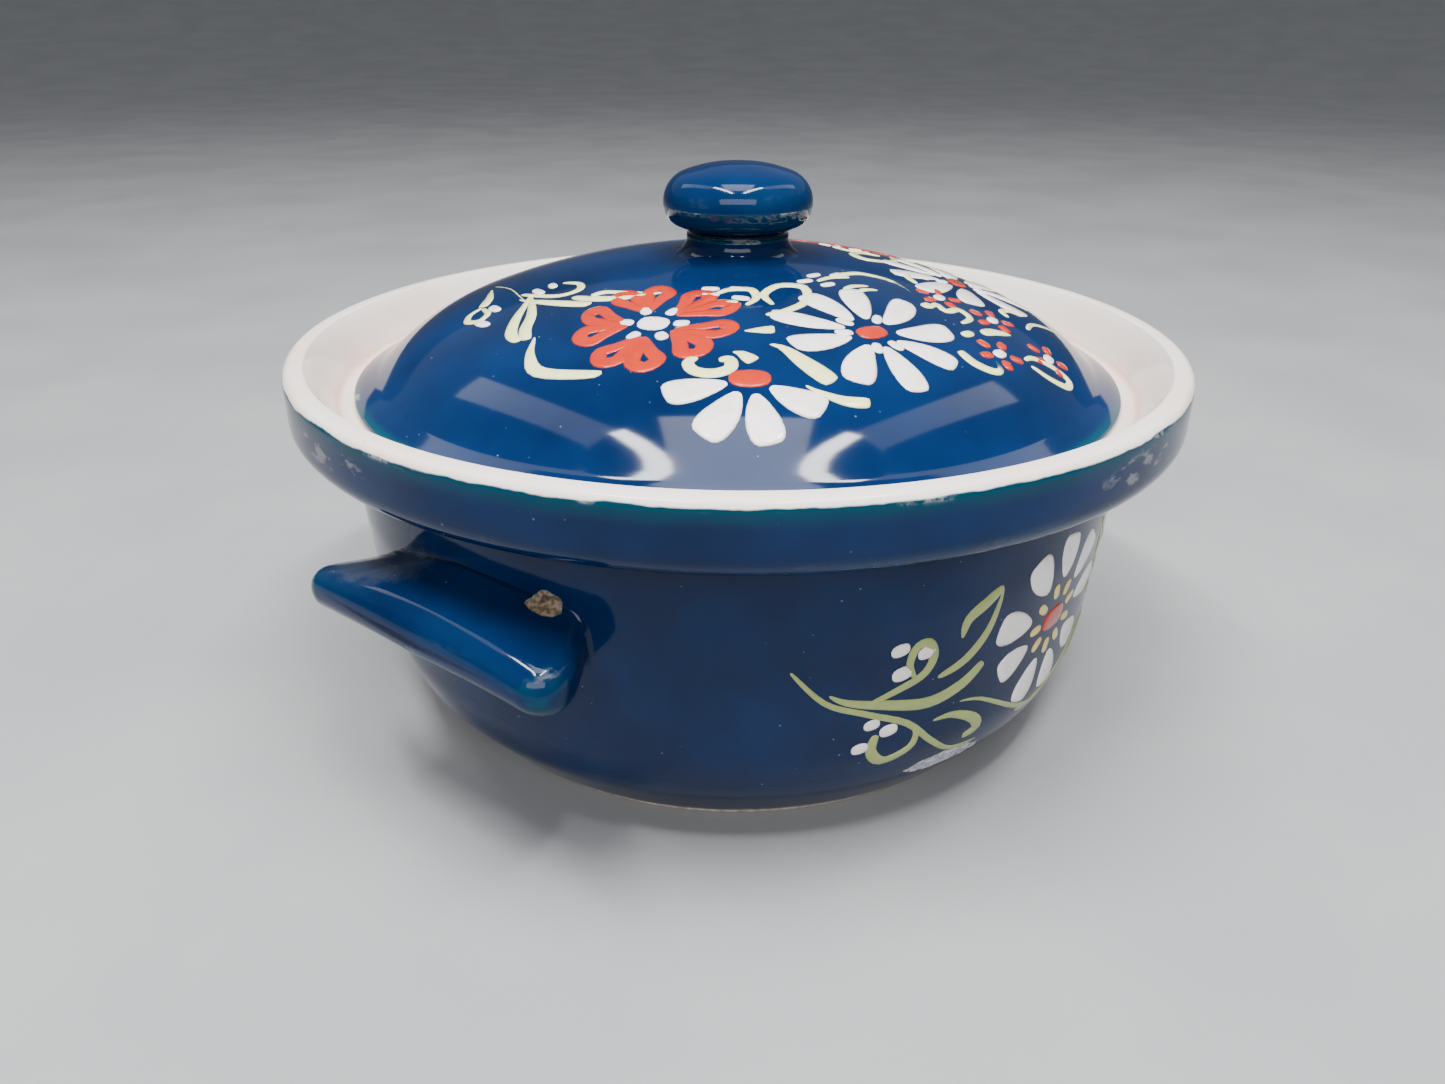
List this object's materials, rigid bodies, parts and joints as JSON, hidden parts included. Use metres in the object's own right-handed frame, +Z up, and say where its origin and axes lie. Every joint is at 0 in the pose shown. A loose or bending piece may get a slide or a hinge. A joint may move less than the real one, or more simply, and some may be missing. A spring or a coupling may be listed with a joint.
{
  "type": "lidded casserole pot",
  "caption": "Low round lidded stoneware casserole with two lug handles, rolled rim with an inner ledge, and a domed lid with a mushroom knob.",
  "frame": {"origin": "centre of the foot ring on the surface that the pot stands on", "axes": "+Z up along the pot's axis, +X out through one lug handle, -X out through the other"},
  "size_m": [0.2438, 0.24, 0.146],
  "materials": {
    "blue_glaze": "deep blue transparent glaze, very glossy, with a white glazed inside and rim"
  },
  "bodies": {
    "pot": {"pot_body": "blue_glaze", "handle_left": "blue_glaze", "handle_right": "blue_glaze"},
    "lid": {"lid_dome": "blue_glaze", "lid_knob": "blue_glaze"}
  },
  "joints": [
    {"name": "lid_lift", "type": "slide", "parent": "pot", "child": "lid", "axis": [0, 0, 1], "range_m": [0, 0.1]}
  ]
}
